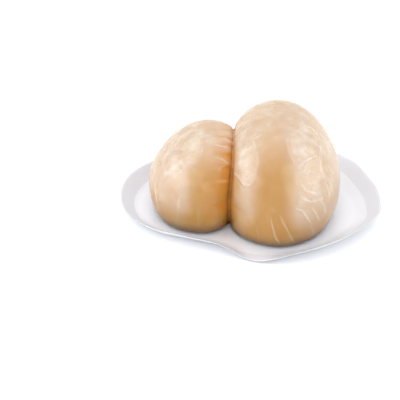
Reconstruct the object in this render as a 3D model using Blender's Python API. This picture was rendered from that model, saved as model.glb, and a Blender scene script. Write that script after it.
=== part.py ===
"""A smoked scamorza vacuum packed under clear film on its own white backing sheet.

Metres, +Z up. The long axis of the cheese lies along X with the big lobe at +X, the sheet lies
on the table, and the origin is under the middle of the sheet's bounding box.
"""

import math

import bmesh
import bpy
from mathutils import noise

MM = 0.001
TINY = 1e-7

# Driving dimensions, in metres.
BIG_LENGTH = 55.8 * MM          # from the tied waist to the end of the big lobe
BIG_WIDTH = 86.8 * MM
BIG_HEIGHT = 53.4 * MM
BIG_WIDEST = 21.8 * MM          # how far from the waist the big lobe is widest
BIG_HIGHEST = 22.2 * MM         # how far from the waist the big lobe is highest
SMALL_LENGTH = 43.6 * MM        # from the tied waist to the end of the small lobe
SMALL_WIDTH = 64.4 * MM
SMALL_HEIGHT = 44.0 * MM
SMALL_WIDEST = 13.6 * MM
SMALL_HIGHEST = 3.1 * MM
WAIST_WIDTH = 47.0 * MM
WAIST_HEIGHT = 41.5 * MM
WAIST_GAP = 0.6 * MM            # width of the floor of the tied groove
LEAN = 1.4 * MM                 # how far the big lobe leans over the small one, low in front
LEAN_REACH = 14.0 * MM          # how far along the lobes the lean is felt
LEAN_FROM = math.radians(40.0)  # it begins this far round from the top, and is full at LEAN_TO
LEAN_TO = math.radians(105.0)

SHEET_THICKNESS = 0.6 * MM
SHEET_GAP = 0.3 * MM            # the air kept between the cheese and the sheet
SHEET_BROAD_RADIUS = 53.0 * MM
SHEET_NARROW_RADIUS = 38.5 * MM
SHEET_BROAD_AT = 24.2 * MM      # centre of the broad end, from the waist
SHEET_NARROW_AT = -20.5 * MM
CURL_AT_BROAD_END = 14.0 * MM   # how much of the margin curls up off the table
CURL_AT_NARROW_END = 9.5 * MM
CURL_BEND = 1.7                 # over one, the margin bends up more towards its edge
RIM_RISE = 6.6 * MM             # how far the curled edge stands off the table
FRONT_DIP = 6.0 * MM            # how much lower the rim hangs at the front
FRONT_DIP_AT = math.radians(12.0)       # from the front towards the broad end
FRONT_DIP_WIDTH = math.radians(15.0)
CORNER_LIFT = 3.0 * MM          # how much more it curls between the front and the broad end
CORNER_LIFT_AT = math.radians(52.0)
CORNER_LIFT_WIDTH = math.radians(24.0)
RIM_WAVE = 0.6 * MM             # slow ups and downs of the rim, three round the sheet
RIM_WAVE_START = 0.8
RIM_FLUTTER = 0.3 * MM          # quicker ones, seven round the sheet
EDGE_SWAY = 1.5 * MM            # how far the cut edge runs out and in at the broad end
SWAY_OUT_AT = math.radians(-11.0)
SWAY_OUT_WIDTH = math.radians(7.0)
SWAY_IN_AT = math.radians(14.0)
SWAY_IN_WIDTH = math.radians(9.0)
EDGE_STEPS = 40                 # circles tried between the two ends of the pear

# How the solid is divided.
AROUND = 84
CHEESE_RINGS = 56
BIG_RINGS_SHARE = 30.5 / 56     # the share of the rings that the big lobe has
SHEET_AROUND = 96
SHEET_RINGS = 12
SHEET_RING_SPREAD = 0.55        # under one, it crowds the rings towards the edge

CENTRE_SHARE = 0.485             # height of the widest line, as a share of a lobe's height
END_SHARE = 0.31                # the same at the two ends
UNDERSIDE_AT_WAIST = 1.78        # how steeply the flank runs down, before the foot cuts it
UNDERSIDE_AT_ENDS = 1.92
UNDERSIDE_AT_WIDEST = 2.25
ROUNDNESS_ABOVE = 2.18           # exponents of the rounded sections
ROUNDNESS_BELOW = 2.2
ROUNDNESS_ALONG = 2.2           # exponents of the rounded lobes, for their width
ROUNDNESS_OVER = 2.06            # and for their height
ROUNDNESS_AT_WAIST = 1.8
FOOT_SOFTNESS = 1.6 * MM        # rounding between flank and foot
PLEATS = 15
PLEAT_DEPTH = 1.15 * MM
PLEAT_REACH = 7.0 * MM          # how far a pleat runs out from the waist
PLEAT_FADE = 1.5                # exponent of its dying away
PLEAT_DRIFT = 4.2               # radians by which the folds wander from an even spacing
REACH_VARIES = 0.5              # share by which one fold's reach differs from the next
DRIFT_FOLDS = 1.7               # how quickly that wandering changes round the waist
REACH_FOLDS = 3.0
HAND_WOBBLE = 0.55 * MM         # unevenness left by hand shaping
WOBBLE_SIZE = 17.0 * MM
WOBBLE_FADES_BELOW = 0.2        # share of the big width under which the unevenness dies away


def soft_floor(height, softness):
    """The height held above zero, with a rounded change where it meets the floor."""
    return 0.5 * (height + math.sqrt(height * height + softness * softness))


def swell(distance, length, widest, at_waist, largest, roundness):
    """A lobe's size this far from the waist: quick to swell, then falling to nothing at its end."""
    if distance < widest:
        share = 1.0 - distance / widest
        grown = max(0.0, 1.0 - share ** ROUNDNESS_AT_WAIST) ** (1.0 / ROUNDNESS_AT_WAIST)
        return at_waist + (largest - at_waist) * grown
    share = min(1.0, (distance - widest) / (length - widest))
    return largest * max(0.0, 1.0 - share ** roundness) ** (1.0 / roundness)


def lobe_sizes(x):
    """Half width, heights above and below the widest line, and that line's height."""
    if x >= 0.0:
        length, width, widest = BIG_LENGTH, BIG_WIDTH, BIG_WIDEST
        height, highest = BIG_HEIGHT, BIG_HIGHEST
    else:
        length, width, widest = SMALL_LENGTH, SMALL_WIDTH, SMALL_WIDEST
        height, highest = SMALL_HEIGHT, SMALL_HIGHEST
    distance = max(0.0, abs(x) - 0.5 * WAIST_GAP)
    half = swell(distance, length, widest, 0.5 * WAIST_WIDTH, 0.5 * width, ROUNDNESS_ALONG)
    over = 1.0 - CENTRE_SHARE
    above = swell(distance, length, highest, over * WAIST_HEIGHT, over * height, ROUNDNESS_OVER)
    if distance < widest:
        grown = math.sqrt(distance / widest)
        line = CENTRE_SHARE * (WAIST_HEIGHT + (height - WAIST_HEIGHT) * grown)
        steep = UNDERSIDE_AT_WAIST + (UNDERSIDE_AT_WIDEST - UNDERSIDE_AT_WAIST) * grown
        return half, above, line * steep, line
    out = (distance - widest) / (length - widest)
    line = height * (CENTRE_SHARE + (END_SHARE - CENTRE_SHARE) * out * out)
    steep = UNDERSIDE_AT_WIDEST + (UNDERSIDE_AT_ENDS - UNDERSIDE_AT_WIDEST) * out * out
    return half, above, line * steep * 2.0 * half / width, line


def pleat(x, turn):
    """The depth of the tied folds, which run out from the waist and die away."""
    ahead, across = math.cos(turn), math.sin(turn)
    varies = noise.noise((REACH_FOLDS * ahead, REACH_FOLDS * across, 5.0))
    reach = PLEAT_REACH * (1.0 + REACH_VARIES * varies)
    fade = math.exp(-((abs(x) / reach) ** PLEAT_FADE))
    drift = PLEAT_DRIFT * noise.noise((DRIFT_FOLDS * ahead, DRIFT_FOLDS * across, 9.0))
    return -PLEAT_DEPTH * fade * (0.5 + 0.5 * math.cos(PLEATS * turn + drift))


def lean(x, turn):
    """How far the waist is pushed towards the small lobe, low in front."""
    part = max(0.0, min(1.0, (-turn - LEAN_FROM) / (LEAN_TO - LEAN_FROM)))
    return -LEAN * part * part * (3.0 - 2.0 * part) * math.exp(-((x / LEAN_REACH) ** 2))


def cheese_point(x, turn):
    """The place on the film-covered cheese at x from the waist, turn measured from the top."""
    half, above, below, line = lobe_sizes(x)
    if half < TINY:
        return x, 0.0, line
    side, up = math.sin(turn), math.cos(turn)
    power, reach = (ROUNDNESS_ABOVE, above) if up >= 0.0 else (ROUNDNESS_BELOW, below)
    size = (abs(side / half) ** power + abs(up / reach) ** power) ** (-1.0 / power)
    uneven = noise.noise((x / WOBBLE_SIZE, side * half / WOBBLE_SIZE, up * above / WOBBLE_SIZE))
    size += HAND_WOBBLE * uneven * min(1.0, half / (WOBBLE_FADES_BELOW * BIG_WIDTH))
    size += pleat(x, turn)
    return x + lean(x, turn), side * size, soft_floor(line + up * size, FOOT_SOFTNESS)


def along(share):
    """Distance from the waist of the ring at this share of the way from the big end to the small."""
    if share < BIG_RINGS_SHARE:
        part, way = share / BIG_RINGS_SHARE, 1.0
        length, widest = BIG_LENGTH, BIG_WIDEST
    else:
        part, way = (1.0 - share) / (1.0 - BIG_RINGS_SHARE), -1.0
        length, widest = SMALL_LENGTH, SMALL_WIDEST
    if part < 0.5:
        distance = widest + (length - widest) * math.cos(math.pi * part)
    else:
        distance = widest * (1.0 - math.sin(math.pi * (part - 0.5)))
    return way * (distance + 0.5 * WAIST_GAP)


def finish(name, mesh_builder, colour, roughness):
    """Turns a bmesh into a named object with its own material."""
    mesh_builder.normal_update()
    bmesh.ops.recalc_face_normals(mesh_builder, faces=mesh_builder.faces)
    for face in mesh_builder.faces:
        face.smooth = True
    mesh = bpy.data.meshes.new(name)
    mesh_builder.to_mesh(mesh)
    mesh_builder.free()
    piece = bpy.data.objects.new(name, mesh)
    bpy.context.scene.collection.objects.link(piece)
    material = bpy.data.materials.new(name + "_surface")
    material.use_nodes = True
    shader = material.node_tree.nodes["Principled BSDF"]
    shader.inputs["Base Color"].default_value = (*colour, 1.0)
    shader.inputs["Roughness"].default_value = roughness
    shader.inputs["Metallic"].default_value = 0.0
    mesh.materials.append(material)
    return piece


def make_cheese(waist_at):
    """The two-lobed cheese with its clear film drawn tight over it: a ball, drawn to shape."""
    builder = bmesh.new()
    bmesh.ops.create_uvsphere(builder, u_segments=AROUND, v_segments=CHEESE_RINGS, radius=1.0)
    for vert in builder.verts:
        share = math.acos(max(-1.0, min(1.0, vert.co.z))) / math.pi
        turn = math.atan2(vert.co.y, vert.co.x)
        px, py, pz = cheese_point(along(share), turn)
        vert.co = (px + waist_at, py, pz + SHEET_THICKNESS + SHEET_GAP)
    return finish("scamorza", builder, (0.66, 0.42, 0.18), 0.32)


def wrapped(turn):
    """The same direction, as an angle between minus and plus half a turn."""
    return (turn + math.pi) % (2.0 * math.pi) - math.pi


def sheet_edge(turn):
    """Distance from the sheet's middle to its pear-shaped edge, in one direction."""
    ahead, across = math.cos(turn), math.sin(turn)
    best = 0.0
    for k in range(EDGE_STEPS + 1):
        share = k / EDGE_STEPS
        centre = SHEET_NARROW_AT + (SHEET_BROAD_AT - SHEET_NARROW_AT) * share
        radius = SHEET_NARROW_RADIUS + (SHEET_BROAD_RADIUS - SHEET_NARROW_RADIUS) * share
        inside = radius * radius - (centre * across) ** 2
        if inside > 0.0:
            best = max(best, centre * ahead + math.sqrt(inside))
    out = math.exp(-(((turn - SWAY_OUT_AT) / SWAY_OUT_WIDTH) ** 2))
    drawn_in = math.exp(-(((turn - SWAY_IN_AT) / SWAY_IN_WIDTH) ** 2))
    return best + EDGE_SWAY * (out - drawn_in)


def waist_from_middle():
    """The waist's place along X once the sheet's box is centred on the origin."""
    turns = [2.0 * math.pi * k / SHEET_AROUND for k in range(SHEET_AROUND)]
    reaches = [sheet_edge(wrapped(turn)) * math.cos(turn) for turn in turns]
    return -0.5 * (max(reaches) + min(reaches))


def rim_height(turn):
    """How far the edge of the sheet stands off the table in one direction."""
    front = wrapped(turn + 0.5 * math.pi)
    dip = FRONT_DIP * math.exp(-(((front - FRONT_DIP_AT) / FRONT_DIP_WIDTH) ** 2))
    lift = CORNER_LIFT * math.exp(-(((front - CORNER_LIFT_AT) / CORNER_LIFT_WIDTH) ** 2))
    wave = RIM_WAVE * math.sin(3.0 * turn + RIM_WAVE_START) + RIM_FLUTTER * math.sin(7.0 * turn)
    return RIM_RISE + lift - dip + wave


def sheet_point(turn, share):
    """A place on top of the sheet, share running from the middle to the edge."""
    edge = sheet_edge(turn)
    broad = 0.5 + 0.5 * math.cos(turn)
    curl = CURL_AT_NARROW_END + (CURL_AT_BROAD_END - CURL_AT_NARROW_END) * broad
    out = edge * share
    rise = max(0.0, (out - edge + curl) / curl)
    height = rim_height(turn) * rise ** CURL_BEND
    return out * math.cos(turn), out * math.sin(turn), height


def make_sheet(waist_at):
    """The thin backing sheet, flat under the cheese and curled up round it: a flattened ball."""
    builder = bmesh.new()
    bmesh.ops.create_uvsphere(builder, u_segments=SHEET_AROUND, v_segments=2 * SHEET_RINGS, radius=1.0)
    for vert in builder.verts:
        tilt = math.asin(max(-1.0, min(1.0, vert.co.z)))
        out = 1.0 - abs(tilt) / (0.5 * math.pi)
        turn = math.atan2(vert.co.y, vert.co.x)
        px, py, pz = sheet_point(turn, out ** SHEET_RING_SPREAD)
        side = 0.5 + 0.5 * max(-1.0, min(1.0, tilt * SHEET_RINGS))
        vert.co = (px + waist_at, py, pz + SHEET_THICKNESS * side)
    return finish("backing_sheet", builder, (0.88, 0.89, 0.91), 0.35)


def main():
    for item in list(bpy.data.objects):
        bpy.data.objects.remove(item)
    waist_at = waist_from_middle()
    make_cheese(waist_at)
    make_sheet(waist_at)


main()
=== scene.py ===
# %% [markdown]
# A smoked scamorza in its vacuum pack.
# Scamorza is a stretched-curd cheese: the hot curd is pulled, shaped into a ball and tied near
# one end, so that it gets a big lobe, a tight waist and a small lobe, and then it is smoked to
# a golden tan. Here it is sealed under clear film on a white, pear-shaped backing sheet.
# The lesson loads the CAD frame, rebuilds the form of the cheese at a finer grain, draws the
# film over it with its creases and air pockets, makes the sheet, and then finishes each surface.

# %% Load the frame
import math
import random

import bmesh
import bpy
from mathutils import Matrix, Vector, kdtree, noise


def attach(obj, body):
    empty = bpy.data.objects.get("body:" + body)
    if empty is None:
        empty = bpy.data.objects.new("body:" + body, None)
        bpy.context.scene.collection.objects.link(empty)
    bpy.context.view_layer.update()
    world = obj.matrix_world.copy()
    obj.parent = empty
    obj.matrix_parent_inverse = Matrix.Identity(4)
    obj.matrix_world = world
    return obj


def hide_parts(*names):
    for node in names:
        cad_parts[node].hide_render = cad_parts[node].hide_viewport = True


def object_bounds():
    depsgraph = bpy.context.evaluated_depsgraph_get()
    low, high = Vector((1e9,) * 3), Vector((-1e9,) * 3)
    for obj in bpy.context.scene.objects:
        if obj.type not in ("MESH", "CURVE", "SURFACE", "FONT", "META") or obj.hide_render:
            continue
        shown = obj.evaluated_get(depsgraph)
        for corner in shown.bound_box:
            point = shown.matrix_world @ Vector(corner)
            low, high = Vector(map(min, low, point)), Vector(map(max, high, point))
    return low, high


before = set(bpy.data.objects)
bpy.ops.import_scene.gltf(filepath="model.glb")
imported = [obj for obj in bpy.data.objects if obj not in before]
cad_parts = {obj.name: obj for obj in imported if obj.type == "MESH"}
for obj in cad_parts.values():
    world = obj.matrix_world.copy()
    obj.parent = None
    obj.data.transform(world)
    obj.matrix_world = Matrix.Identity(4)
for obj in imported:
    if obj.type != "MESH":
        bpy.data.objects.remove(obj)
cad_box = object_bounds()
print("CAD nodes:", sorted(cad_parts))

# %% [markdown]
# Everything is in metres, and a few driving dimensions set the whole form.
# They are the same as in the CAD source, so that each finer piece lies where its solid lies.

# %% Driving dimensions
MM = 0.001
TINY = 1e-7
BIG_LENGTH, BIG_WIDTH, BIG_HEIGHT = 55.8 * MM, 86.8 * MM, 53.4 * MM
BIG_WIDEST, BIG_HIGHEST = 21.8 * MM, 22.2 * MM
SMALL_LENGTH, SMALL_WIDTH, SMALL_HEIGHT = 43.6 * MM, 64.4 * MM, 44.0 * MM
SMALL_WIDEST, SMALL_HIGHEST = 13.6 * MM, 3.1 * MM
WAIST_WIDTH, WAIST_HEIGHT, WAIST_GAP = 47.0 * MM, 41.5 * MM, 0.6 * MM
print("the cheese is", round((BIG_LENGTH + SMALL_LENGTH + WAIST_GAP) / MM, 1), "mm long")

# %% [markdown]
# The backing sheet is cut to a pear, the outline round a row of growing circles, with its
# broad end at +X. At that end the cut sways a little out and in again.
# Everything is centred on this sheet, so its outline comes first.

# %% The pear-shaped outline
SHEET_BROAD_RADIUS, SHEET_BROAD_AT = 53.0 * MM, 24.2 * MM
SHEET_NARROW_RADIUS, SHEET_NARROW_AT = 38.5 * MM, -20.5 * MM
EDGE_SWAY, EDGE_STEPS = 1.5 * MM, 40
SWAY_OUT_AT, SWAY_OUT_WIDTH = math.radians(-11.0), math.radians(7.0)
SWAY_IN_AT, SWAY_IN_WIDTH = math.radians(14.0), math.radians(9.0)
CAD_SHEET_AROUND = 96


def wrapped(turn):
    """The same direction, as an angle between minus and plus half a turn."""
    return (turn + math.pi) % (2.0 * math.pi) - math.pi


def sheet_edge(turn):
    """Distance from the sheet's middle to its pear-shaped edge, in one direction."""
    ahead, across = math.cos(turn), math.sin(turn)
    best = 0.0
    for k in range(EDGE_STEPS + 1):
        share = k / EDGE_STEPS
        centre = SHEET_NARROW_AT + (SHEET_BROAD_AT - SHEET_NARROW_AT) * share
        radius = SHEET_NARROW_RADIUS + (SHEET_BROAD_RADIUS - SHEET_NARROW_RADIUS) * share
        root = radius * radius - (centre * across) ** 2
        if root > 0.0:
            best = max(best, centre * ahead + math.sqrt(root))
    out = math.exp(-(((turn - SWAY_OUT_AT) / SWAY_OUT_WIDTH) ** 2))
    drawn_in = math.exp(-(((turn - SWAY_IN_AT) / SWAY_IN_WIDTH) ** 2))
    return best + EDGE_SWAY * (out - drawn_in)


def waist_from_middle():
    """The waist's place along X once the sheet's box is centred on the origin."""
    turns = [2.0 * math.pi * k / CAD_SHEET_AROUND for k in range(CAD_SHEET_AROUND)]
    reaches = [sheet_edge(wrapped(turn)) * math.cos(turn) for turn in turns]
    return -0.5 * (max(reaches) + min(reaches))


WAIST_FROM_MIDDLE = waist_from_middle()
print("the waist is", round(WAIST_FROM_MIDDLE / MM, 2), "mm from the middle")

# %% [markdown]
# The form of the cheese is a tube of rounded sections strung along X.
# Each section has a half width, a height above its widest line and a depth below it. A lobe
# swells quickly beside the waist and falls to nothing at its end, and its flat foot is where
# the soft cheese was pressed on the sheet.

# %% The rounded sections of the two lobes
CENTRE_SHARE, END_SHARE = 0.485, 0.31
UNDERSIDE_AT_WAIST, UNDERSIDE_AT_WIDEST, UNDERSIDE_AT_ENDS = 1.78, 2.25, 1.92
ROUNDNESS_ALONG, ROUNDNESS_OVER, ROUNDNESS_AT_WAIST = 2.2, 2.06, 1.8


def swell(distance, length, widest, at_waist, largest, roundness):
    """A lobe's size this far from the waist."""
    if distance < widest:
        share = 1.0 - distance / widest
        grown = max(0.0, 1.0 - share ** ROUNDNESS_AT_WAIST) ** (1.0 / ROUNDNESS_AT_WAIST)
        return at_waist + (largest - at_waist) * grown
    share = min(1.0, (distance - widest) / (length - widest))
    return largest * max(0.0, 1.0 - share ** roundness) ** (1.0 / roundness)


def lobe_sizes(x):
    """Half width, heights above and below the widest line, and that line's height."""
    if x >= 0.0:
        length, width, widest = BIG_LENGTH, BIG_WIDTH, BIG_WIDEST
        height, highest = BIG_HEIGHT, BIG_HIGHEST
    else:
        length, width, widest = SMALL_LENGTH, SMALL_WIDTH, SMALL_WIDEST
        height, highest = SMALL_HEIGHT, SMALL_HIGHEST
    distance = max(0.0, abs(x) - 0.5 * WAIST_GAP)
    half = swell(distance, length, widest, 0.5 * WAIST_WIDTH, 0.5 * width, ROUNDNESS_ALONG)
    over = 1.0 - CENTRE_SHARE
    above = swell(distance, length, highest, over * WAIST_HEIGHT, over * height, ROUNDNESS_OVER)
    if distance < widest:
        grown = math.sqrt(distance / widest)
        line = CENTRE_SHARE * (WAIST_HEIGHT + (height - WAIST_HEIGHT) * grown)
        steep = UNDERSIDE_AT_WAIST + (UNDERSIDE_AT_WIDEST - UNDERSIDE_AT_WAIST) * grown
        return half, above, line * steep, line
    out = (distance - widest) / (length - widest)
    line = height * (CENTRE_SHARE + (END_SHARE - CENTRE_SHARE) * out * out)
    steep = UNDERSIDE_AT_WIDEST + (UNDERSIDE_AT_ENDS - UNDERSIDE_AT_WIDEST) * out * out
    return half, above, line * steep * 2.0 * half / width, line


print("the waist is", round(2.0 * lobe_sizes(0.0)[0] / MM, 1), "mm wide")

# %% [markdown]
# The tie drew the curd into broad folds, or pleats, that run out from the waist and die away on
# each lobe. A cosine round the waist gives their number, and slow noise makes each one its own.
# Low in front the big lobe sags over the waist, so the waist leans towards the small lobe there.

# %% The pleats and the lean of the waist
PLEATS, PLEAT_DEPTH, PLEAT_REACH, PLEAT_FADE = 15, 1.15 * MM, 7.0 * MM, 1.5
PLEAT_DRIFT, DRIFT_FOLDS, DRIFT_LAYER = 4.2, 1.7, 9.0
REACH_VARIES, REACH_FOLDS, REACH_LAYER = 0.5, 3.0, 5.0
LEAN, LEAN_REACH = 1.4 * MM, 14.0 * MM
LEAN_FROM, LEAN_TO = math.radians(40.0), math.radians(105.0)


def pleat(x, turn):
    """The broad folds that run out from the tied waist and die away."""
    ahead, across = math.cos(turn), math.sin(turn)
    varies = noise.noise((REACH_FOLDS * ahead, REACH_FOLDS * across, REACH_LAYER))
    reach = PLEAT_REACH * (1.0 + REACH_VARIES * varies)
    fade = math.exp(-((abs(x) / reach) ** PLEAT_FADE))
    folds = noise.noise((DRIFT_FOLDS * ahead, DRIFT_FOLDS * across, DRIFT_LAYER))
    drift = PLEAT_DRIFT * folds
    return -PLEAT_DEPTH * fade * (0.5 + 0.5 * math.cos(PLEATS * turn + drift))


def lean(x, turn):
    """How far the waist is pushed towards the small lobe, low in front."""
    part = max(0.0, min(1.0, (-turn - LEAN_FROM) / (LEAN_TO - LEAN_FROM)))
    return -LEAN * part * part * (3.0 - 2.0 * part) * math.exp(-((x / LEAN_REACH) ** 2))


print("the waist leans by up to", round(LEAN / MM, 1), "mm")

# %% [markdown]
# Beside the waist the skin of the curd is gathered like cloth on a string.
# The CAD solid has the broad pleats. The finer gathers are added here: narrow hollows between
# soft ridges, each at its own angle round the waist and with its own depth and reach. Those
# that face the camera are listed, and the others come from a seeded draw.

# %% The gathers at the waist
# Each gather: degrees from the top towards the front, depth in mm, reach along the lobe in mm,
# and half width in degrees.
SMALL_LOBE_GATHERS = [
    (-10.0, 1.3, 6.0, 3.0),
    (8.0, 0.9, 4.0, 3.0),
    (22.0, 0.9, 4.5, 3.0),
    (38.0, 2.0, 7.0, 5.0),
    (54.0, 1.6, 6.0, 3.6),
    (65.0, 0.8, 5.0, 3.0),
    (76.0, 0.9, 7.0, 4.0),
    (92.0, 0.8, 6.0, 4.0),
]
BIG_LOBE_GATHERS = [
    (6.0, 0.6, 3.5, 3.0),
    (21.0, 0.7, 5.0, 3.0),
    (41.0, 0.6, 3.5, 3.0),
    (66.0, 0.6, 4.0, 4.0),
]
GATHER_SEED = 11
GATHER_FADE, GATHER_SPAN = 1.6, 3.0
HIDDEN_GATHERS, HIDDEN_FROM, HIDDEN_TO, HIDDEN_SHIFT = 26, 98.0, 344.0, 2.5
HIDDEN_DEPTHS, HIDDEN_REACHES, HIDDEN_WIDTHS = (0.4, 1.2), (3.0, 6.5), (2.2, 4.0)


def with_hidden_gathers(shown, seed):
    """The listed gathers, and random ones round the sides that face away."""
    draw = random.Random(seed)
    made = list(shown)
    step = (HIDDEN_TO - HIDDEN_FROM) / HIDDEN_GATHERS
    for k in range(HIDDEN_GATHERS):
        at = HIDDEN_FROM + k * step + draw.uniform(-HIDDEN_SHIFT, HIDDEN_SHIFT)
        depth, reach = draw.uniform(*HIDDEN_DEPTHS), draw.uniform(*HIDDEN_REACHES)
        made.append((at, depth, reach, draw.uniform(*HIDDEN_WIDTHS)))
    return made


GATHERS = {
    1: with_hidden_gathers(BIG_LOBE_GATHERS, GATHER_SEED),
    -1: with_hidden_gathers(SMALL_LOBE_GATHERS, GATHER_SEED + 1),
}


def gather(x, degrees):
    """How far the skin is drawn in by the gathers, at x from the waist."""
    depth = 0.0
    for at, deep, reach, spread in GATHERS[1 if x >= 0.0 else -1]:
        away = (degrees - at + 180.0) % 360.0 - 180.0
        if abs(away) > GATHER_SPAN * spread:
            continue
        fade = math.exp(-((abs(x) / (reach * MM)) ** GATHER_FADE))
        depth += deep * math.exp(-((away / spread) ** 2)) * fade
    return -depth * MM


print(len(GATHERS[1]), "gathers on the big lobe,", len(GATHERS[-1]), "on the small one")

# %% [markdown]
# Now one function can say where any point of the outside lies. It takes the section's rounded
# outline, lets the hand that shaped the curd show as a slow wobble, cuts in pleats and gathers,
# and eases the foot on to the sheet instead of letting it sink through.

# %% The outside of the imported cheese
ROUNDNESS_ABOVE, ROUNDNESS_BELOW = 2.18, 2.2
HAND_WOBBLE, WOBBLE_SIZE, WOBBLE_FADES_BELOW = 0.55 * MM, 17.0 * MM, 0.2
FOOT_SOFTNESS = 1.6 * MM


def form_point(x, turn):
    """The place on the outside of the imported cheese; turn is 0 at the top, below 0 in front."""
    half, above, below, line = lobe_sizes(x)
    if half < TINY:
        return Vector((x, 0.0, line))
    side, up = math.sin(turn), math.cos(turn)
    power, reach = (ROUNDNESS_ABOVE, above) if up >= 0.0 else (ROUNDNESS_BELOW, below)
    size = (abs(side / half) ** power + abs(up / reach) ** power) ** (-1.0 / power)
    uneven = noise.noise((x / WOBBLE_SIZE, side * half / WOBBLE_SIZE, up * above / WOBBLE_SIZE))
    size += HAND_WOBBLE * uneven * min(1.0, half / (WOBBLE_FADES_BELOW * BIG_WIDTH))
    size += pleat(x, turn) + gather(x, -math.degrees(turn))
    height = line + up * size
    height = 0.5 * (height + math.sqrt(height * height + FOOT_SOFTNESS * FOOT_SOFTNESS))
    return Vector((x + lean(x, turn), side * size, height))


print("the big lobe rises to", round(form_point(BIG_HIGHEST, 0.0).z / MM, 1), "mm")

# %% [markdown]
# A sphere whose poles lie along X has just the rings and spokes that this form needs.
# Each of its points is moved to its place on the cheese. The spokes are crowded towards the
# top, where the creases of the film need a fine mesh, and thinned out on the hidden foot.

# %% Draw a ball out to the form
SHEET_THICKNESS, SHEET_GAP = 0.6 * MM, 0.3 * MM
FOOT = SHEET_THICKNESS + SHEET_GAP
RING_SHARE_OF_BIG_LOBE = 0.545
TOP_CROWDING = 0.42


def along(share):
    """Distance from the waist of the ring at this share of the way from big end to small end."""
    if share < RING_SHARE_OF_BIG_LOBE:
        part, way = share / RING_SHARE_OF_BIG_LOBE, 1.0
        length, widest = BIG_LENGTH, BIG_WIDEST
    else:
        part, way = (1.0 - share) / (1.0 - RING_SHARE_OF_BIG_LOBE), -1.0
        length, widest = SMALL_LENGTH, SMALL_WIDEST
    if part < 0.5:
        distance = widest + (length - widest) * math.cos(math.pi * part)
    else:
        distance = widest * (1.0 - math.sin(math.pi * (part - 0.5)))
    return way * (distance + 0.5 * WAIST_GAP)


def placed(point):
    """A point of the form, measured from the waist, put in the finished frame."""
    return Vector((point.x + WAIST_FROM_MIDDLE, point.y, point.z + FOOT))


def drawn_ball(spokes, rings):
    """A bmesh of the whole form, made from a sphere."""
    builder = bmesh.new()
    bmesh.ops.create_uvsphere(builder, u_segments=spokes, v_segments=rings, radius=1.0)
    for vert in builder.verts:
        share = math.acos(max(-1.0, min(1.0, vert.co.z))) / math.pi
        spoke = math.atan2(vert.co.y, vert.co.x)
        turn = spoke - TOP_CROWDING * math.sin(spoke)
        vert.co = placed(form_point(along(share), turn))
    bmesh.ops.reverse_faces(builder, faces=builder.faces)
    builder.normal_update()
    return builder


def as_piece(name, builder, node):
    """Turns a bmesh into a piece that rides with the object and stands for its CAD node."""
    for face in builder.faces:
        face.smooth = True
    mesh = bpy.data.meshes.new(name)
    builder.to_mesh(mesh)
    builder.free()
    piece = bpy.data.objects.new(name, mesh)
    bpy.context.scene.collection.objects.link(piece)
    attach(piece, "root")
    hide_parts(node)
    print(name, "has", len(mesh.polygons), "faces")
    return piece


print("the cheese stands", round(FOOT / MM, 1), "mm over the table")

# %% [markdown]
# Shrunk film never lies quite smooth. Where it is pulled between high points it forms thin,
# sharp, raised creases, and between some of them it stands off the cheese over a shallow
# pocket of air, which looks paler than where the film wets the rind.
# They could be modelled as strips, but a film is one skin, so they are lines on the form that
# lift it. Each point is (millimetres from the waist along X, degrees from the top to the front).

# %% The creases that face the camera
# Each crease: height in mm, half width in mm, and its points.
CREASES = [
    (0.40, 0.80, [(16, 25), (10, 32), (12, 45), (13, 55), (12, 68)]),
    (0.80, 0.60, [(1, 60), (4, 67), (7, 73), (10, 72), (12, 68)]),
    (0.45, 0.80, [(28, 28), (27, 36), (28, 48), (32, 62)]),
    (1.00, 0.65, [(32, 62), (36, 54), (43, 43)]),
    (0.80, 0.75, [(33, 7), (39, 1), (42, 4), (44, 14)]),
    (0.45, 0.70, [(42, -3), (49, -2), (50, 8)]),
    (0.45, 0.90, [(44, 16), (44, 55), (47, 70), (49, 80), (49, 95)]),
    (0.40, 0.50, [(13, 103), (15, 118)]),
    (0.85, 0.60, [(20, 98), (22, 110), (25, 120)]),
    (0.85, 0.60, [(24, 94), (28, 106), (32, 119)]),
    (0.80, 0.70, [(30, 88), (35, 90), (39, 101), (42, 118)]),
    (0.60, 0.75, [(39, 88), (42, 94), (44, 104)]),
    (0.55, 0.75, [(43, 80), (46, 88), (47, 100)]),
    (0.50, 0.80, [(33, 70), (37, 76), (43, 78)]),
    (0.45, 0.80, [(34, 80), (39, 84), (46, 82)]),
    (0.45, 0.75, [(36, 66), (39, 60), (43, 62)]),
    (0.50, 0.75, [(47, 62), (50, 72), (51, 86)]),
    (0.45, 0.70, [(-15, 27), (-16, 42), (-18, 52), (-22, 56)]),
    (0.80, 0.55, [(-10, 25), (-6, 28), (-1, 27)]),
    (0.95, 0.60, [(-8, 44), (-4, 47), (-1, 51)]),
    (0.70, 0.55, [(-3, 50), (-6, 56), (-7, 60)]),
    (0.55, 0.55, [(-1, 21), (-4, 14), (-7, 14)]),
    (0.45, 0.60, [(-1, 69), (-8, 69)]),
    (0.40, 0.60, [(-1, 88), (-10, 89)]),
]
print(len(CREASES), "creases in front")

# %% [markdown]
# The sides that face away are creased in the same manner, with a few longer folds that run
# down to the sheet.

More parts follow.
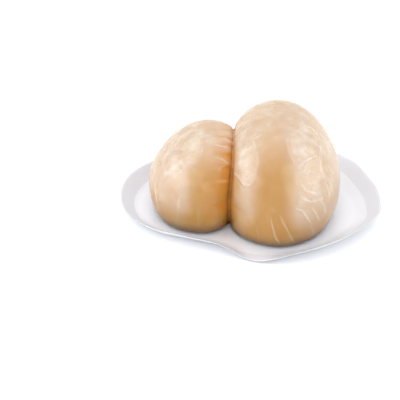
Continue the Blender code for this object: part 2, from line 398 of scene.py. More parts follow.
# %% The creases that face away
CREASES += [
    (0.85, 0.60, [(10.0, -38), (14.0, -52), (22.0, -60), (31.0, -55), (36.0, -40)]),
    (0.80, 0.60, [(22.0, -60), (21.0, -78), (23.0, -96), (24.0, -122)]),
    (0.70, 0.55, [(31.0, -55), (36.0, -72), (40.0, -92), (41.5, -120)]),
    (0.55, 0.50, [(12.0, -86), (11.0, -104), (10.0, -122)]),
    (0.75, 0.60, [(53.5, -10), (52.5, -50), (50.5, -84), (49.0, -118)]),
    (0.60, 0.50, [(52.5, -50), (48.0, -62), (43.0, -60)]),
    (0.80, 0.60, [(-15.0, -26), (-20.0, -44), (-28.0, -52), (-34.0, -38)]),
    (0.70, 0.55, [(-20.0, -44), (-19.0, -70), (-17.0, -98), (-16.5, -122)]),
    (0.75, 0.60, [(-28.0, -52), (-31.0, -78), (-32.0, -118)]),
    (0.70, 0.55, [(-38.0, 40), (-39.5, 70), (-38.0, 100), (-36.5, 120)]),
    (0.60, 0.50, [(-26.0, 82), (-27.0, 98), (-27.5, 122)]),
    (0.55, 0.50, [(-16.0, 92), (-16.5, 106), (-17.0, 122)]),
]
print(len(CREASES), "creases in all")

# %% [markdown]
# A pocket of air lies between creases, so its outline runs along them. There are three in front
# and two behind.

# %% The pockets of air
# Each pocket: how far the film stands off in mm, and its outline, closed.
POCKETS = [
    (0.45, [(1, 28), (3, 17), (6, 16), (10, 32), (12, 45), (13, 55), (12, 68), (7, 73), (4, 67),
            (1, 60)]),
    (0.55, [(32, 62), (36, 54), (43, 43), (44, 14), (42, 4), (39, 1), (33, 7), (28, 28), (27, 36),
            (28, 48)]),
    (0.40, [(-15, 27), (-16, 42), (-18, 52), (-22, 56), (-29, 68), (-36, 61), (-37, 25),
            (-32, -12), (-22, -20), (-14, -12)]),
    (0.45, [(10, -38), (14, -52), (22, -60), (31, -55), (36, -40), (28, -30), (17, -28)]),
    (0.40, [(-15, -26), (-20, -44), (-28, -52), (-34, -38), (-27, -26), (-19, -22)]),
]
print(len(POCKETS), "pockets of air")

# %% [markdown]
# To know how high the film is lifted at a point, each crease is walked in small steps, and the
# steps go into a search tree that finds the near ones quickly. A crease tapers to both ends,
# and noise makes it higher in some places than in others.

# %% Walk along the creases
CREASE_STEP, CREASE_VARIES, CREASE_CLOUD = 0.3 * MM, 0.9, 7.0 * MM
TAPER_SLOPE, TAPER_AT_TIP = 5.0, 0.15
CREASE_REACH, CREASE_FALL = 3.0 * MM, 1.5
FULL_FOLD, FOLD_WIDTH = 0.8 * MM, 0.75


def on_form(x_mm, degrees):
    """The place of a crease point on the finished form."""
    return placed(form_point(x_mm * MM, -math.radians(degrees)))


def walk(points, closed=False):
    """Steps of CREASE_STEP along a crease: (place, share of its length)."""
    ends = points + points[:1] if closed else points
    steps = []
    for first, second in zip(ends, ends[1:]):
        span = (on_form(*second) - on_form(*first)).length
        count = max(1, int(span / CREASE_STEP))
        for k in range(count):
            part = k / count
            steps.append([first[n] + (second[n] - first[n]) * part for n in (0, 1)])
    places = [on_form(*step) for step in steps]
    return [(place, k / max(1, len(places) - 1)) for k, place in enumerate(places)]


def search_tree(places):
    """A tree that finds the places near a point."""
    tree = kdtree.KDTree(len(places))
    for k, place in enumerate(places):
        tree.insert(place, k)
    tree.balance()
    return tree


def crease_walk():
    """All the steps along the creases: place, height and half width."""
    steps = []
    for height, width, points in CREASES:
        for place, share in walk(points):
            from_tip = min(share, 1.0 - share)
            taper = min(1.0, TAPER_SLOPE * from_tip + TAPER_AT_TIP)
            taper *= 1.0 + CREASE_VARIES * noise.noise(place / CREASE_CLOUD)
            steps.append((place, height * MM * taper, width * MM))
    return steps


crease_steps = crease_walk()
crease_tree = search_tree([step[0] for step in crease_steps])


def crease_at(place):
    """How high the creases stand here, and how much of a fold shows, from 0 to 1."""
    height, fold = 0.0, 0.0
    for _, k, away in crease_tree.find_range(place, CREASE_REACH):
        _, tall, wide = crease_steps[k]
        height = max(height, tall * math.exp(-((away / wide) ** CREASE_FALL)))
        crest = math.exp(-((away / (FOLD_WIDTH * wide)) ** 2))
        fold = max(fold, min(1.0, tall / FULL_FOLD) * crest)
    return height, fold


print(len(crease_steps), "steps along the creases")

# %% [markdown]
# Over a pocket the film slopes up from the outline to its full height, and the pale look of
# the air fades in over the same few millimetres. Counting how often a line from the point
# crosses the outline tells whether the point is inside.

# %% Where the film stands off over air
POCKET_SLOPE, POCKET_FADE = 3.5 * MM, 2.0 * MM


def inside(outline, x, degrees):
    """Whether a point lies in a closed outline, by counting the sides that it crosses."""
    crossings = 0
    for (x1, round1), (x2, round2) in zip(outline, outline[1:] + outline[:1]):
        if (round1 > degrees) == (round2 > degrees):
            continue
        if x < x1 + (degrees - round1) / (round2 - round1) * (x2 - x1):
            crossings += 1
    return crossings % 2 == 1


edge_tree = search_tree([place for _, outline in POCKETS for place, _ in walk(outline, closed=True)])


def around_at(place):
    """The place of a point on the form: metres from the waist, degrees from the top to the front."""
    x = place.x - WAIST_FROM_MIDDLE
    return x, -math.degrees(math.atan2(place.y, place.z - FOOT - lobe_sizes(x)[3]))


def air_at(place):
    """How far a pocket holds the film off, and how much of the air shows, from 0 to 1."""
    x, degrees = around_at(place)
    for rise, outline in POCKETS:
        if inside(outline, x / MM, degrees):
            away = edge_tree.find(place)[2]
            return rise * MM * min(1.0, away / POCKET_SLOPE), min(1.0, away / POCKET_FADE)
    return 0.0, 0.0


print("air at the middle of the big lobe's pocket:", air_at(on_form(36, 30))[1])

# %% [markdown]
# Between the pockets the film either clings wet to the rind, which looks deep and glossy, or
# has a thin breath of air under it, which looks hazy. It is wet on the flanks beside the waist
# and round the foot, where whey gathers. Towards the ends of the lobes it lies loose and finely
# wrinkled. Soft spots on the form say where.

# %% Where the film is wet and where it lies loose
# Each spot: mm from the waist, degrees from the top towards the front, then its reach in mm
# and in degrees.
WET_PLACES = [(20.5, 76, 11, 45), (-10, 76, 13, 40), (22, -84, 13, 40), (-14, -84, 11, 32)]
WET_FOOT_HEIGHT = 17.0 * MM
LOOSE_PLACES = [(39, 76, 9, 26), (44, -70, 9, 30), (-30, 40, 9, 30), (-30, -60, 9, 30)]
LOOSE_WRINKLE, LOOSE_WRINKLE_SIZE = 0.36 * MM, 3.6 * MM
WRINKLE_STRETCH, WRINKLE_SHARPNESS = 0.6, 3.0


def share_at(place, spots):
    """How much of a listed state holds here, from 0 to 1."""
    x, degrees = around_at(place)
    share = 0.0
    for at, round_at, reach, spread in spots:
        along_x, around = (x / MM - at) / reach, (degrees - round_at) / spread
        share += math.exp(-(along_x ** 4) - (around ** 2))
    return min(1.0, share)


def wet_at(place):
    """How fully the film wets the rind here, from 0 to 1."""
    foot = math.exp(-(((place.z - FOOT) / WET_FOOT_HEIGHT) ** 2))
    return min(1.0, foot + share_at(place, WET_PLACES))


def wrinkle_at(place):
    """How far the small wrinkles lift the loose film here."""
    spot = place / LOOSE_WRINKLE_SIZE
    grain = noise.noise((spot.x, WRINKLE_STRETCH * spot.y, WRINKLE_STRETCH * spot.z))
    ridge = max(0.0, 1.0 - WRINKLE_SHARPNESS * abs(grain))
    return LOOSE_WRINKLE * ridge * ridge * share_at(place, LOOSE_PLACES)


print(len(WET_PLACES), "wet spots,", len(LOOSE_PLACES), "loose ones")

# %% [markdown]
# The cheese itself lies just inside the film. Its skin is slightly drawn in and wrinkled
# where the strands of curd were folded over, and it sinks a little more under a pocket.

# %% Make the cheese
CHEESE_SPOKES, CHEESE_RINGS = 240, 200
FILM_OFF_RIND = 0.30 * MM
RIND_WRINKLE, RIND_WRINKLE_SIZE = 0.16 * MM, 5.0 * MM
# The painted orange shade in the crease at the waist: how far it reaches on each lobe, how strong it
# is on top and low in front, and how much the hollows of the gathers add.
TUCK_SHADE_ON_SMALL_LOBE, TUCK_SHADE_ON_BIG_LOBE = 7.5 * MM, 1.3 * MM
TUCK_SHADE_AT_TOP, TUCK_SHADE_FULL_AT, TUCK_SHADE_FALL, TUCK_SHADE_FADE = 0.45, 75.0, 38.0, 1.6
HOLLOW_SHADE = 0.4
# The painted contact shadow round the foot: how dark it is and how high it reaches.
FOOT_SHADOW, FOOT_SHADOW_HEIGHT = 0.95, 4.8 * MM
STRAND_STRETCH, SINKS_UNDER_AIR = 0.6, 0.5


def tuck_shade_at(place):
    """How much of the painted orange shade of the crease at the waist shows here, from 0 to 1."""
    x, degrees = around_at(place)
    x -= lean(x, -math.radians(degrees))
    # The painted shade reaches further on the small lobe, which the big lobe shades, and is strongest
    # low in front.
    reach = TUCK_SHADE_ON_BIG_LOBE if x > 0.0 else TUCK_SHADE_ON_SMALL_LOBE
    low = math.exp(-(((abs(degrees) - TUCK_SHADE_FULL_AT) / TUCK_SHADE_FALL) ** 2))
    fade = math.exp(-((abs(x) / reach) ** TUCK_SHADE_FADE))
    beside = (TUCK_SHADE_AT_TOP + (1.0 - TUCK_SHADE_AT_TOP) * low) * fade
    # The hollows of the gathers get deeper painted shade.
    return min(1.0, beside + HOLLOW_SHADE * abs(gather(x, degrees)) / MM)


def make_cheese():
    """The cheese, with attributes that say how its rind looks from place to place and where shade is
    painted on it.
    """
    builder = drawn_ball(CHEESE_SPOKES, CHEESE_RINGS)
    air = builder.verts.layers.float.new("air")
    tuck_shade = builder.verts.layers.float.new("tuck_shade")
    wet = builder.verts.layers.float.new("wet")
    foot = builder.verts.layers.float.new("foot")
    moved = []
    for vert in builder.verts:
        rise, shown = air_at(vert.co)
        vert[air] = shown
        vert[wet] = wet_at(vert.co) * (1.0 - shown)
        # Painted orange shade in the crease at the waist.
        vert[tuck_shade] = tuck_shade_at(vert.co)
        # Painted contact shadow, dark brown, round the foot.
        vert[foot] = FOOT_SHADOW * math.exp(-(((vert.co.z - FOOT) / FOOT_SHADOW_HEIGHT) ** 2))
        stretched = (vert.co.x / (STRAND_STRETCH * RIND_WRINKLE_SIZE),
                     vert.co.y / RIND_WRINKLE_SIZE, vert.co.z / RIND_WRINKLE_SIZE)
        sunk = SINKS_UNDER_AIR * rise + abs(RIND_WRINKLE * noise.noise(stretched))
        moved.append(vert.co - vert.normal * (FILM_OFF_RIND + sunk))
    for vert, place in zip(builder.verts, moved):
        vert.co = place
    return as_piece("smoked_cheese", builder, "scamorza")


cheese = make_cheese()

# %% [markdown]
# The film is a second skin on the same form. The mesh is made finer along the creases, where
# a ridge is only about a millimetre wide, and then each point is lifted by the crease and the
# pocket that it lies on. At the foot it flares out on to the sheet that it is welded to.

# %% Make the clear film
FILM_SPOKES, FILM_RINGS = 300, 230
FINE_NEAR_CREASE = 2.0 * MM
FLARE_HEIGHT, FLARE_WIDTH = 2.0 * MM, 1.1 * MM
RISES_OVER_AIR = 0.6
TENSION_LINES, TENSION_FADE = 0.10 * MM, 18.0 * MM
TENSION_LENGTH, TENSION_WIDTH = 9.0 * MM, 2.2 * MM


def refine_near_creases(builder):
    """Divides the edges that lie along the creases."""
    near = set()
    for vert in builder.verts:
        if crease_tree.find(vert.co)[2] < FINE_NEAR_CREASE:
            near.add(vert)
    edges = [edge for edge in builder.edges if edge.verts[0] in near and edge.verts[1] in near]
    bmesh.ops.subdivide_edges(builder, edges=edges, cuts=1, use_grid_fill=True)
    builder.normal_update()


def tension_at(place):
    """How far the fine lines of pull that run out from the waist lift the film here."""
    across = (place.y / TENSION_WIDTH, place.z / TENSION_WIDTH)
    pull = noise.noise((place.x / TENSION_LENGTH, *across))
    return TENSION_LINES * pull * math.exp(-abs(place.x - WAIST_FROM_MIDDLE) / TENSION_FADE)


def flared(place, x):
    """The place eased out at the foot, on to the sheet, where the lobe has its size at x."""
    low = max(0.0, 1.0 - (place.z - FOOT) / FLARE_HEIGHT)
    if low > 0.0:
        half = max(TINY, lobe_sizes(x)[0])
        flare = FLARE_WIDTH * low * low * min(1.0, abs(place.y) / half)
        place.y += math.copysign(flare, place.y)
    return place


def make_film():
    """The film, with attributes that say how it looks from place to place."""
    builder = drawn_ball(FILM_SPOKES, FILM_RINGS)
    refine_near_creases(builder)
    air = builder.verts.layers.float.new("air")
    fold = builder.verts.layers.float.new("fold")
    hazy = builder.verts.layers.float.new("hazy")
    tuck_shade = builder.verts.layers.float.new("tuck_shade")
    top = cad_box[1][2]
    moved = []
    for vert in builder.verts:
        rise, shown = air_at(vert.co)
        height, crest = crease_at(vert.co)
        vert[air], vert[fold], vert[tuck_shade] = shown, crest, tuck_shade_at(vert.co)
        vert[hazy] = (1.0 - wet_at(vert.co)) * (1.0 - vert[tuck_shade])
        lift = RISES_OVER_AIR * rise + height + tension_at(vert.co) + wrinkle_at(vert.co)
        place = flared(vert.co + vert.normal * lift, vert.co.x - WAIST_FROM_MIDDLE)
        place.z = min(place.z, top)
        moved.append(place)
    for vert, place in zip(builder.verts, moved):
        vert.co = place
    return as_piece("clear_film", builder, "scamorza")


film = make_film()

# %% [markdown]
# The backing sheet is a laminate: a white printed layer that stops short of the edge, and a
# clear sealed rim round it. Vacuum has curled its edge up, and it hangs lowest in front.
# It could be a cut sheet with a Solidify modifier, but it is a flattened ball like its solid,
# so that both curl alike. It has finer rings, and its rim carries small ripples.

# %% The curl of the rim
CURL_AT_BROAD_END, CURL_AT_NARROW_END = 14.0 * MM, 9.5 * MM
CURL_BEND, RIM_RISE = 1.7, 6.6 * MM
FRONT_DIP, FRONT_DIP_AT, FRONT_DIP_WIDTH = 6.0 * MM, math.radians(12.0), math.radians(15.0)
CORNER_LIFT, CORNER_LIFT_AT, CORNER_LIFT_WIDTH = 3.0 * MM, math.radians(52.0), math.radians(24.0)
RIM_WAVE, RIM_WAVES, RIM_WAVE_START = 0.6 * MM, 3.0, 0.8
RIM_FLUTTER, RIM_FLUTTERS = 0.3 * MM, 7.0
INSIDE_SOLID = 0.06 * MM


def rim_height(turn):
    """How far the edge of the sheet stands off the table in one direction."""
    front = wrapped(turn + 0.5 * math.pi)
    dip = FRONT_DIP * math.exp(-(((front - FRONT_DIP_AT) / FRONT_DIP_WIDTH) ** 2))
    lift = CORNER_LIFT * math.exp(-(((front - CORNER_LIFT_AT) / CORNER_LIFT_WIDTH) ** 2))
    wave = RIM_WAVE * math.sin(RIM_WAVES * turn + RIM_WAVE_START)
    flutter = RIM_FLUTTER * math.sin(RIM_FLUTTERS * turn)
    return RIM_RISE + lift - dip + (wave + flutter)


def sheet_point(turn, share):
    """A place on top of the sheet and its distance from the edge. share runs to 1 at the edge."""
    edge = sheet_edge(turn) - INSIDE_SOLID
    broad = 0.5 + 0.5 * math.cos(turn)
    curl = CURL_AT_NARROW_END + (CURL_AT_BROAD_END - CURL_AT_NARROW_END) * broad
    out = edge * share
    rise = max(0.0, (out - edge + curl) / curl)
    height = rim_height(turn) * rise ** CURL_BEND
    return Vector((out * math.cos(turn), out * math.sin(turn), height)), edge - out


print("the rim hangs at", round(rim_height(-0.5 * math.pi + FRONT_DIP_AT) / MM, 1), "mm in front")

# %% [markdown]
# The rings of the ball are crowded towards the rim, where the sheet curls. Each point keeps its
# distance from the edge, where the weld will show, and whether it lies on the printed underside.

# %% Make the backing sheet
SHEET_SPOKES, SHEET_RINGS = 320, 60
SHEET_RING_SPREAD = 0.62
LAMINATE = 0.35 * MM
RIM_WIDTH = 7.0 * MM
RIM_RIPPLE, RIM_RIPPLES, RIPPLE_LAYER, RIPPLE_BAND = 0.16 * MM, 9.0, 2.0, 1.6


def make_sheet():
    """The sheet, with attributes for its rim and its underside."""
    builder = bmesh.new()
    bmesh.ops.create_uvsphere(builder, u_segments=SHEET_SPOKES, v_segments=2 * SHEET_RINGS, radius=1.0)
    rim = builder.verts.layers.float.new("rim")
    under = builder.verts.layers.float.new("under")
    for vert in builder.verts:
        tilt = math.asin(max(-1.0, min(1.0, vert.co.z)))
        out = 1.0 - abs(tilt) / (0.5 * math.pi)
        turn = math.atan2(vert.co.y, vert.co.x)
        place, from_edge = sheet_point(turn, out ** SHEET_RING_SPREAD)
        side = 0.5 + 0.5 * max(-1.0, min(1.0, tilt * SHEET_RINGS))
        near_rim = max(0.0, 1.0 - from_edge / (RIPPLE_BAND * RIM_WIDTH))
        around = (RIM_RIPPLES * math.cos(turn), RIM_RIPPLES * math.sin(turn), RIPPLE_LAYER)
        height = max(0.0, place.z + RIM_RIPPLE * near_rim * noise.noise(around))
        vert[rim], vert[under] = from_edge / MM, 1.0 if tilt < 0.0 else 0.0
        vert.co = (place.x + WAIST_FROM_MIDDLE, place.y, height + LAMINATE * side)
    builder.normal_update()
    return as_piece("white_backing_sheet", builder, "backing_sheet")


sheet = make_sheet()

# %% [markdown]
# Colours are written as sRGB hex values, as a paint chart gives them, and one function turns
# them to the linear values that the shaders need. Another adds a node with its settings and
# links, so that each material below reads as a list of its layers.

# %% Helpers for the materials
# A Mix node has sockets for numbers, vectors and colours. For colours they are _0 for the
# amount, _6 and _7 for the two colours, and output 2 for the mixed one.
COLOURS, MIXED = {"data_type": "RGBA"}, 2


def paint(code):
    """A linear RGBA colour from an sRGB hex value."""
    channels = [int(code[k:k + 2], 16) / 255.0 for k in (1, 3, 5)]
    return (*[c / 12.92 if c <= 0.04045 else ((c + 0.055) / 1.055) ** 2.4 for c in channels], 1.0)


def add_node(material, kind, settings=None, **values):
    """Adds a shader node. settings are its own options; values set or link its sockets."""
    node = material.node_tree.nodes.new(kind)
    for option, value in (settings or {}).items():
        setattr(node, option, value)
    for socket, value in values.items():
        place = int(socket[1:]) if socket[1:].isdigit() else socket.replace("_", " ")
        if isinstance(value, bpy.types.NodeSocket):
            material.node_tree.links.new(value, node.inputs[place])
        else:
            node.inputs[place].default_value = value
    return node


def new_material(name):
    """A node material with no nodes yet."""
    material = bpy.data.materials.new(name)
    material.use_nodes = True
    material.node_tree.nodes.clear()
    return material


print("mid grey is", round(paint("#808080")[0], 3), "in linear light")

# %% [markdown]
# Smoked rind: stretched curd, dense and slightly waxy, tanned by smoke. Light sinks a few
# millimetres into it, so it has a warm glow where it is thin and in the waist. Where the film
# wets it the colour is deep and golden, and under air it is paler and matt. The smoke took
# unevenly, in soft clouds a few centimetres wide, with fine fibres along the pull of the curd.
# In the crease at the waist a deeper orange is painted as shade and bounce light, and round the
# foot a dark brown is painted as the contact shadow.

# %% Smoked rind
WET_GOLD, DRY_GOLD = "#B58534", "#C49C67"
SMOKE_BROWN, PALE_CURD = "#B27E36", "#D2B484"
# Colours of painted shade: orange for the shade and bounce light in the waist's crease, dark brown for
# the contact shadow round the foot.
TUCK_SHADE_ORANGE, FOOT_SHADOW_BROWN = "#CC8A3A", "#553618"
SMOKE_CLOUD_MM, FIBRE_MM, FIBRE_STRETCH = 24.0, 1.6, 0.25
TUCK_SHADE_SHOWS = 0.9
GLOW_DEPTH = 5.0 * MM


def smoked_rind():
    """The material of the cheese: a wet or a dry gold, with each layer of colour laid over it."""
    material = new_material("smoked_curd_rind")
    where = add_node(material, "ShaderNodeTexCoord").outputs["Object"]
    clouds = add_node(material, "ShaderNodeTexNoise", Vector=where, Scale=1.0 / (SMOKE_CLOUD_MM * MM),
                      Detail=3.0, Roughness=0.55).outputs["Fac"]
    stretched = add_node(material, "ShaderNodeMapping", Vector=where,
                         Scale=(FIBRE_STRETCH, 1.0, 1.0)).outputs["Vector"]
    fibres = add_node(material, "ShaderNodeTexNoise", Vector=stretched, Scale=1.0 / (FIBRE_MM * MM),
                      Detail=4.0, Roughness=0.6).outputs["Fac"]
    smoke = add_node(material, "ShaderNodeMapRange", Value=clouds, From_Min=0.42, From_Max=0.72,
                     To_Min=0.0, To_Max=0.55).outputs["Result"]
    pale = add_node(material, "ShaderNodeMapRange", Value=clouds, From_Min=0.48, From_Max=0.30,
                    To_Min=0.0, To_Max=0.5).outputs["Result"]
    # The painted orange shade of the waist's crease, from its mask.
    tuck_shade = add_node(material, "ShaderNodeAttribute", {"attribute_name": "tuck_shade"}).outputs["Fac"]
    tuck_shade_shown = add_node(material, "ShaderNodeMath", {"operation": "MULTIPLY"}, _0=tuck_shade,
                      _1=TUCK_SHADE_SHOWS).outputs["Value"]
    wet = add_node(material, "ShaderNodeAttribute", {"attribute_name": "wet"}).outputs["Fac"]
    # The mask of the painted contact shadow at the foot.
    foot = add_node(material, "ShaderNodeAttribute", {"attribute_name": "foot"}).outputs["Fac"]
    speck = add_node(material, "ShaderNodeMapRange", Value=fibres, From_Min=0.35, From_Max=0.65,
                     To_Min=0.0, To_Max=0.14).outputs["Result"]
    # Two of these layers are painted shade: the orange in the waist's crease and the dark brown
    # contact shadow at the foot.
    layers = [(wet, WET_GOLD), (smoke, SMOKE_BROWN), (pale, PALE_CURD), (tuck_shade_shown, TUCK_SHADE_ORANGE),
              (foot, FOOT_SHADOW_BROWN), (speck, SMOKE_BROWN)]
    gold = paint(DRY_GOLD)
    for amount, colour in layers:
        gold = add_node(material, "ShaderNodeMix", COLOURS, _0=amount, _6=gold,
                        _7=paint(colour)).outputs[MIXED]
    bump = add_node(material, "ShaderNodeBump", Height=fibres, Strength=0.25,
                    Distance=0.3 * MM).outputs["Normal"]
    rind = add_node(material, "ShaderNodeBsdfPrincipled", Base_Color=gold, Roughness=0.42, IOR=1.46,
                    Normal=bump, Subsurface_Weight=0.55, Subsurface_Radius=(1.0, 0.45, 0.18),
                    Subsurface_Scale=GLOW_DEPTH)
    add_node(material, "ShaderNodeOutputMaterial", Surface=rind.outputs["BSDF"])
    return material


cheese.data.materials.append(smoked_rind())
print(cheese.name, "is finished with", cheese.data.materials[0].name)

# %% [markdown]
# Shrink film: a clear polyamide and polyethylene laminate, thermoformed and drawn tight by
# vacuum. Most of it shows only as gloss. Its folds are two or three layers thick and scatter
# light, so they look like pale threads, and over air it is faintly milky.
# Each face of the film reflects 4% of what meets it squarely, and far more edge on. Where the
# film is wet only its outer face reflects, and where air lies under it, both faces do.
# The film in the tuck of the waist is folded on itself and hardly shines.

# %% Clear shrink film
CLEAR, MILK = "#FFFFFF", "#F6EFE3"
FILM_GLOSS = 0.26
HAZE_CLOUD_MM = 7.0
MILK_OVER_AIR, MILK_IN_HAZE, MILK_IN_FOLDS = 0.10, 0.31, 0.22
THIN_MILK, THICK_OVER_AIR, THICK_IN_HAZE = 0.6, 1.3, 1.4
WET_GLOSS, DRY_GLOSS, EDGE_GLOSS, EDGE_ON_POWER = 0.04, 0.08, 0.42, 5.0
TUCK_GLOSS_LOST = 0.85


def clear_film():
    """The material of the film: clear and milky layers under a gloss that grows edge on."""
    material = new_material("clear_shrink_film")
    where = add_node(material, "ShaderNodeTexCoord").outputs["Object"]
    air = add_node(material, "ShaderNodeAttribute", {"attribute_name": "air"}).outputs["Fac"]
    fold = add_node(material, "ShaderNodeAttribute", {"attribute_name": "fold"}).outputs["Fac"]
    haze = add_node(material, "ShaderNodeTexNoise", Vector=where, Scale=1.0 / (HAZE_CLOUD_MM * MM),
                    Detail=3.0).outputs["Fac"]
    over_air = add_node(material, "ShaderNodeMapRange", Value=haze, From_Min=0.3, From_Max=0.7,
                        To_Min=THIN_MILK * MILK_OVER_AIR,
                        To_Max=THICK_OVER_AIR * MILK_OVER_AIR).outputs["Result"]
    hazy = add_node(material, "ShaderNodeAttribute", {"attribute_name": "hazy"}).outputs["Fac"]
    milk = add_node(material, "ShaderNodeMath", {"operation": "MULTIPLY"}, _0=air,
                    _1=over_air).outputs["Value"]
    in_haze = add_node(material, "ShaderNodeMapRange", Value=haze, From_Min=0.3, From_Max=0.7,
                       To_Min=THIN_MILK * MILK_IN_HAZE,
                       To_Max=THICK_IN_HAZE * MILK_IN_HAZE).outputs["Result"]
    milk = add_node(material, "ShaderNodeMath", {"operation": "MULTIPLY_ADD"}, _0=hazy,
                    _1=in_haze, _2=milk).outputs["Value"]
    milk = add_node(material, "ShaderNodeMath", {"operation": "MULTIPLY_ADD", "use_clamp": True},
                    _0=fold, _1=MILK_IN_FOLDS, _2=milk).outputs["Value"]
    bump = add_node(material, "ShaderNodeBump", Height=haze, Strength=0.12,
                    Distance=0.25 * MM).outputs["Normal"]
    clear = add_node(material, "ShaderNodeBsdfTransparent", Color=paint(CLEAR))
    milky = add_node(material, "ShaderNodeBsdfDiffuse", Color=paint(MILK), Normal=bump)
    body = add_node(material, "ShaderNodeMixShader", _0=milk, _1=clear.outputs["BSDF"],
                    _2=milky.outputs["BSDF"])
    gloss = add_node(material, "ShaderNodeBsdfGlossy", Color=paint(CLEAR), Roughness=FILM_GLOSS,
                     Normal=bump)
    facing = add_node(material, "ShaderNodeLayerWeight", Blend=0.5, Normal=bump).outputs["Facing"]
    edge_on = add_node(material, "ShaderNodeMath", {"operation": "POWER"}, _0=facing,
                       _1=EDGE_ON_POWER).outputs["Value"]
    face_on = add_node(material, "ShaderNodeMapRange", Value=hazy, From_Min=0.0, From_Max=1.0,
                       To_Min=WET_GLOSS, To_Max=DRY_GLOSS).outputs["Result"]
    shine = add_node(material, "ShaderNodeMapRange", Value=edge_on, From_Min=0.0, From_Max=1.0,
                     To_Min=face_on, To_Max=EDGE_GLOSS).outputs["Result"]
    tuck_shade = add_node(material, "ShaderNodeAttribute", {"attribute_name": "tuck_shade"}).outputs["Fac"]
    kept = add_node(material, "ShaderNodeMapRange", Value=tuck_shade, From_Min=0.0, From_Max=1.0,
                    To_Min=1.0, To_Max=1.0 - TUCK_GLOSS_LOST).outputs["Result"]
    shine = add_node(material, "ShaderNodeMath", {"operation": "MULTIPLY"}, _0=shine,
                     _1=kept).outputs["Value"]
    skin = add_node(material, "ShaderNodeMixShader", _0=shine, _1=body.outputs["Shader"],
                    _2=gloss.outputs["BSDF"])
    add_node(material, "ShaderNodeOutputMaterial", Surface=skin.outputs["Shader"])
    return material


film.data.materials.append(clear_film())
print(film.name, "is finished with", film.data.materials[0].name)

# %% [markdown]
# The underside of the backing sheet is printed with plain fields of colour. Ink has no height,
# so the material draws it and the mesh stays smooth. Each field is a box in the sheet's plane: a
# point is inside where it lies within half a length of the middle, along X and along Y.

# %% The print on the underside
INK_WHITE, INK_SHADE, WELD_GREY = "#F3F6FC", "#ECF0F9", "#E2E5EE"
PRINT_BLUE, PRINT_SLATE, PRINT_GREEN, PRINT_RED = "#1F4F8F", "#8090A8", "#3E9B4F", "#C8403A"
# Each field: its ink, millimetres from the waist along X and from the middle along Y, then its
# length along X and its width along Y.
PRINT_FIELDS = [
    (PRINT_BLUE, -31, 0, 5.0, 40),
    (PRINT_GREEN, -22.5, 0, 0.9, 42),
    (PRINT_BLUE, -16, 0, 5.0, 50),
    (PRINT_BLUE, -9.5, 0, 2.6, 30),
    (PRINT_RED, -5.5, 0, 0.9, 42),
    (PRINT_SLATE, 13, 0, 9.0, 60),
    (PRINT_BLUE, 27, 10, 6.0, 40),
    (PRINT_SLATE, 44, 10, 26.0, 40),
    (INK_WHITE, 44, 10, 25.0, 39),
    (PRINT_SLATE, 29, -24, 11.0, 22),
    (PRINT_BLUE, 45, -18, 4.0, 12),
    (PRINT_RED, 62, -4, 3.0, 16),
]


def within(material, value, middle, length):
    """1 where a value lies within half a length of its middle, both in mm."""
    off = add_node(material, "ShaderNodeMath", {"operation": "SUBTRACT"}, _0=value, _1=middle * MM)
    size = add_node(material, "ShaderNodeMath", {"operation": "ABSOLUTE"}, _0=off.outputs["Value"])
    return add_node(material, "ShaderNodeMath", {"operation": "LESS_THAN"}, _0=size.outputs["Value"],
                    _1=0.5 * length * MM).outputs["Value"]


def printed(material, where, colour):
    """The colour of the sheet with the plain print fields laid over its underside."""
    under = add_node(material, "ShaderNodeAttribute", {"attribute_name": "under"}).outputs["Fac"]
    axes = add_node(material, "ShaderNodeSeparateXYZ", Vector=where).outputs
    for ink, x, y, length, width in PRINT_FIELDS:
        along_x = within(material, axes["X"], x + WAIST_FROM_MIDDLE / MM, length)
        along_y = within(material, axes["Y"], y, width)
        both = add_node(material, "ShaderNodeMath", {"operation": "MULTIPLY"}, _0=along_x, _1=along_y)
        shown = add_node(material, "ShaderNodeMath", {"operation": "MULTIPLY"},
                         _0=both.outputs["Value"], _1=under).outputs["Value"]
        colour = add_node(material, "ShaderNodeMix", COLOURS, _0=shown, _6=colour,
                          _7=paint(ink)).outputs[MIXED]
    return colour


print(len(PRINT_FIELDS), "print fields")

# %% [markdown]
# Backing laminate: smooth film with a white ink layer behind it, glossy where the clear top
# film is welded to it. The ink stops a few millimetres short of the edge, and there the rim
# is a greyish, half clear weld.

# %% White backing laminate
INK_CLOUD_MM, GLOSS_RIPPLE_MM = 15.0, 3.5
INK_ENDS_MM, INK_BLUR_MM = RIM_WIDTH / MM, 0.3


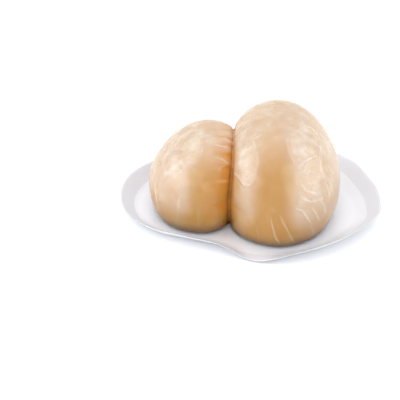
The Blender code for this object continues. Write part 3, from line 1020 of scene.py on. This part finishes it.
def backing_laminate():
    """The material of the sheet: white ink, the grey weld round it and the print below."""
    material = new_material("white_film_laminate")
    where = add_node(material, "ShaderNodeTexCoord").outputs["Object"]
    from_edge = add_node(material, "ShaderNodeAttribute", {"attribute_name": "rim"}).outputs["Fac"]
    weld = add_node(material, "ShaderNodeMapRange", Value=from_edge,
                    From_Min=INK_ENDS_MM + INK_BLUR_MM, From_Max=INK_ENDS_MM - INK_BLUR_MM,
                    To_Min=0.0, To_Max=1.0).outputs["Result"]
    soft = add_node(material, "ShaderNodeTexNoise", Vector=where, Scale=1.0 / (INK_CLOUD_MM * MM),
                    Detail=2.0).outputs["Fac"]
    colour = paint(INK_WHITE)
    for amount, shade in ((soft, INK_SHADE), (weld, WELD_GREY)):
        colour = add_node(material, "ShaderNodeMix", COLOURS, _0=amount, _6=colour,
                          _7=paint(shade)).outputs[MIXED]
    colour = printed(material, where, colour)
    ripple = add_node(material, "ShaderNodeTexNoise", Vector=where,
                      Scale=1.0 / (GLOSS_RIPPLE_MM * MM), Detail=2.0).outputs["Fac"]
    bump = add_node(material, "ShaderNodeBump", Height=ripple, Strength=0.10,
                    Distance=0.3 * MM).outputs["Normal"]
    laminate = add_node(material, "ShaderNodeBsdfPrincipled", Base_Color=colour, Roughness=0.30,
                        IOR=1.5, Normal=bump, Coat_Weight=0.4, Coat_Roughness=0.12)
    add_node(material, "ShaderNodeOutputMaterial", Surface=laminate.outputs["BSDF"])
    return material


sheet.data.materials.append(backing_laminate())
print(sheet.name, "is finished with", sheet.data.materials[0].name)

# %% [markdown]
# The pack lies on a plain white table, as in a catalogue picture. One large square is enough,
# because its edge lies far outside the view.

# %% The table
FLOOR_SIZE = 6.0
FLOOR_WHITE, FLOOR_MATT = "#F7F7F7", 0.9


def make_floor():
    """The white table, which belongs to the picture and not to the pack."""
    builder = bmesh.new()
    bmesh.ops.create_grid(builder, x_segments=1, y_segments=1, size=0.5 * FLOOR_SIZE)
    mesh = bpy.data.meshes.new("table")
    builder.to_mesh(mesh)
    builder.free()
    floor = bpy.data.objects.new("table", mesh)
    bpy.context.scene.collection.objects.link(floor)
    material = new_material("white_table")
    matt = add_node(material, "ShaderNodeBsdfPrincipled", Base_Color=paint(FLOOR_WHITE),
                    Roughness=FLOOR_MATT)
    add_node(material, "ShaderNodeOutputMaterial", Surface=matt.outputs["BSDF"])
    mesh.materials.append(material)
    return floor


print("the table is", make_floor().name)

# %% [markdown]
# Broad softboxes above, in front and to both sides give the film wide, soft reflections with no
# hard spot, and a white world fills the shadows. A small lamp would draw a glaring dot on it.

# %% The soft light
# Each softbox: its name, its place, its width and height in metres, and its watts.
SOFTBOXES = [
    ("overhead_softbox", (0.0, 0.15, 1.40), 2.2, 1.8, 8.5),
    ("front_softbox", (0.0, -1.30, 0.70), 1.8, 1.0, 4.0),
    ("left_softbox", (-1.20, -0.15, 0.55), 1.5, 0.9, 5.5),
    ("right_softbox", (1.20, 0.10, 0.50), 1.5, 0.9, 3.5),
]
LIGHT_AIM = (0.0, 0.0, 0.02)
STUDIO_WHITE, STUDIO_STRENGTH = "#FFFFFF", 0.95


def softbox(name, place, wide, high, watts):
    """A broad area light that faces the pack."""
    lamp = bpy.data.lights.new(name, "AREA")
    lamp.shape = "RECTANGLE"
    lamp.size = wide
    lamp.size_y = high
    lamp.energy = watts
    box = bpy.data.objects.new(name, lamp)
    box.location = place
    aim = Vector(LIGHT_AIM) - Vector(place)
    box.rotation_euler = aim.to_track_quat("-Z", "Y").to_euler()
    bpy.context.scene.collection.objects.link(box)
    return box


for settings in SOFTBOXES:
    softbox(*settings)
world = bpy.data.worlds.new("white_studio")
world.use_nodes = True
background = world.node_tree.nodes["Background"].inputs
background["Color"].default_value = paint(STUDIO_WHITE)
background["Strength"].default_value = STUDIO_STRENGTH
bpy.context.scene.world = world
bpy.context.scene.view_settings.view_transform = "Standard"
print(len(SOFTBOXES), "softboxes")

# %% [markdown]
# A long lens from 34 degrees above gives the photograph's calm, nearly parallel view. The
# camera is placed so that the foot of the waist falls on its own pixel of the photograph.

# %% The camera
IMAGE_SIDE = 400
LENS_MM, SENSOR_MM = 136.0, 36.0
CAMERA_AWAY = 0.8
CAMERA_UP, CAMERA_ROUND = math.radians(34.0), math.radians(2.0)
WAIST_PIXEL = (232.3, 204.5)


def make_camera():
    """A camera that puts the foot of the waist at its pixel in the picture."""
    right = Vector((math.cos(CAMERA_ROUND), math.sin(CAMERA_ROUND), 0.0))
    ahead = Vector((-math.sin(CAMERA_ROUND) * math.cos(CAMERA_UP),
                    math.cos(CAMERA_ROUND) * math.cos(CAMERA_UP), -math.sin(CAMERA_UP)))
    above = right.cross(ahead)
    per_pixel = CAMERA_AWAY * SENSOR_MM / (LENS_MM * IMAGE_SIDE)
    place = Vector((WAIST_FROM_MIDDLE, 0.0, 0.0)) - CAMERA_AWAY * ahead
    place -= right * per_pixel * (WAIST_PIXEL[0] - 0.5 * IMAGE_SIDE)
    place += above * per_pixel * (WAIST_PIXEL[1] - 0.5 * IMAGE_SIDE)
    lens = bpy.data.cameras.new("catalogue_camera")
    lens.lens = LENS_MM
    lens.sensor_width = SENSOR_MM
    camera = bpy.data.objects.new("catalogue_camera", lens)
    turned = Matrix((right, above, -ahead)).transposed().to_4x4()
    camera.matrix_world = Matrix.Translation(place) @ turned
    bpy.context.scene.collection.objects.link(camera)
    bpy.context.scene.camera = camera
    return camera


print("the camera stands at", [round(c, 3) for c in make_camera().matrix_world.translation])
